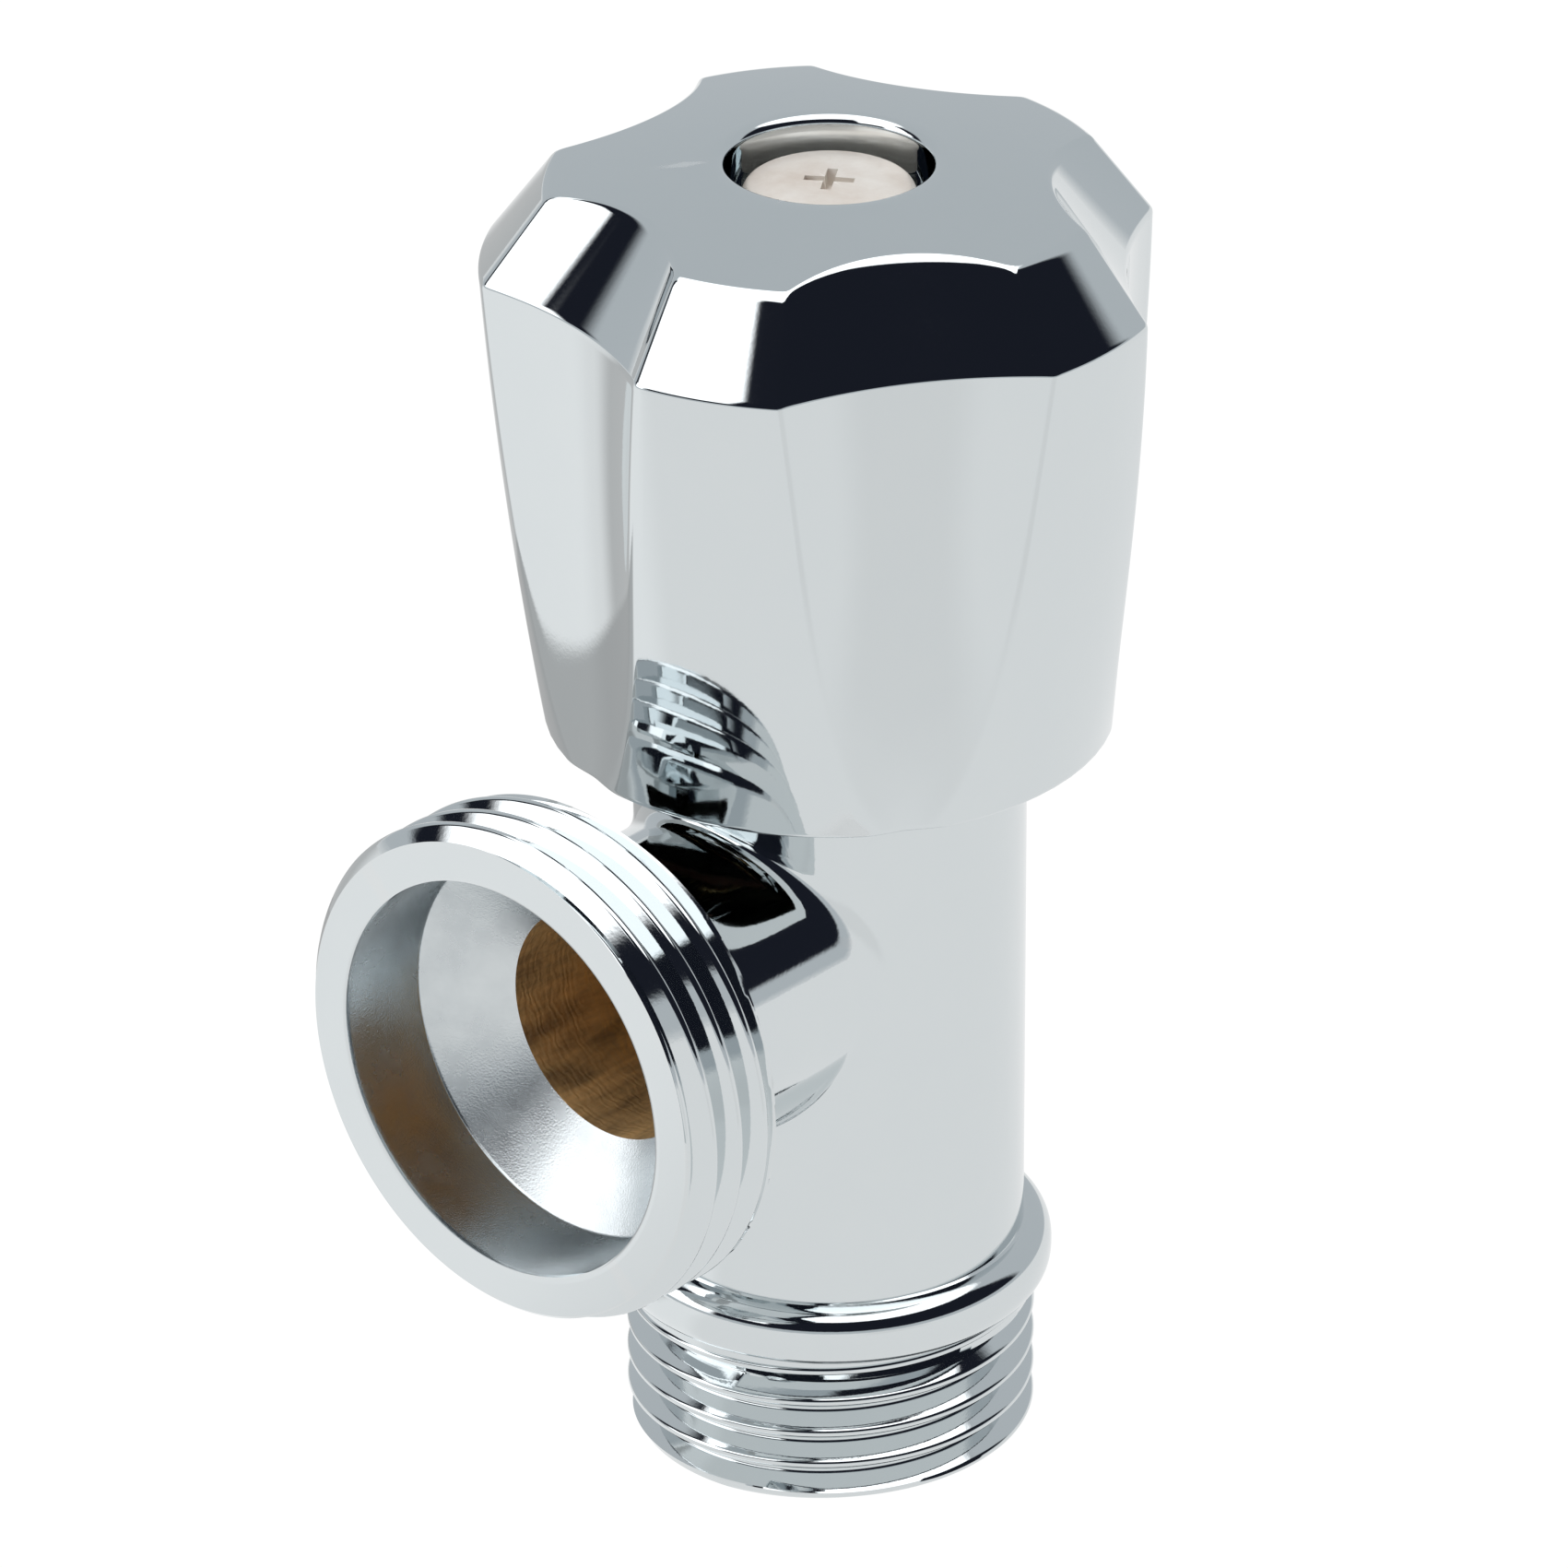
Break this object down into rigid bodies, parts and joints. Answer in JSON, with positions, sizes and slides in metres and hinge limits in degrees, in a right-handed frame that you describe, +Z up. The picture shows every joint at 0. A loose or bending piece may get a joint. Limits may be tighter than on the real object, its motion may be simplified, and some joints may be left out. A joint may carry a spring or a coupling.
{
  "type": "angle stop valve",
  "caption": "Chromed angle stop valve: threaded inlet below, wider threaded outlet at the side, and a hollow lobed handle that turns a spindle and lifts a plunger off its seat.",
  "frame": {"origin": "centre of the inlet's end face, on the spindle axis", "axes": "+Z up the spindle from the inlet to the handle; -Y out of the outlet; +X to the right of the outlet seen from in front"},
  "size_m": [0.0333, 0.0417, 0.0703],
  "materials": {
    "body_chrome": "polished chrome plate outside and in the outlet's mouth, raw brass in the bores",
    "handle_chrome": "polished chrome plate",
    "head_brass": "turned, uncoated",
    "turned_brass": "bright turned",
    "gasket_fibre": "pressed fibre",
    "seal_rubber": "moulded, satin",
    "acetal": "moulded, satin",
    "screw_steel": "nickel plated, pale and slightly warm",
    "spring_steel": "stamped, bare"
  },
  "bodies": {
    "valve_body": {"valve_body": "body_chrome", "head_body": "head_brass", "head_gasket": "gasket_fibre", "head_o_ring": "seal_rubber", "thrust_washer": "acetal", "clip_washer": "acetal"},
    "handle": {"handle": "handle_chrome", "spline_insert": "acetal", "handle_screw": "screw_steel", "screw_lock_washer": "spring_steel", "spindle": "turned_brass", "spindle_o_ring_lower": "seal_rubber", "spindle_o_ring_upper": "seal_rubber", "retaining_clip": "spring_steel"},
    "plunger": {"plunger": "turned_brass", "plunger_o_ring": "seal_rubber", "seat_washer": "seal_rubber", "washer_plate": "turned_brass", "washer_screw": "turned_brass"}
  },
  "joints": [
    {"name": "handle_turn", "type": "hinge", "parent": "valve_body", "child": "handle", "pos_m": [0, 0, 0.0402], "axis": [0, 0, 1], "range_deg": [0, 720]},
    {"name": "plunger_lift", "type": "slide", "parent": "valve_body", "child": "plunger", "axis": [0, 0, 1], "range_m": [0, 0.003]}
  ],
  "couplings": [
    {"joint": "handle_turn", "follows": "plunger_lift", "rad_per_m": 4188.8}
  ]
}
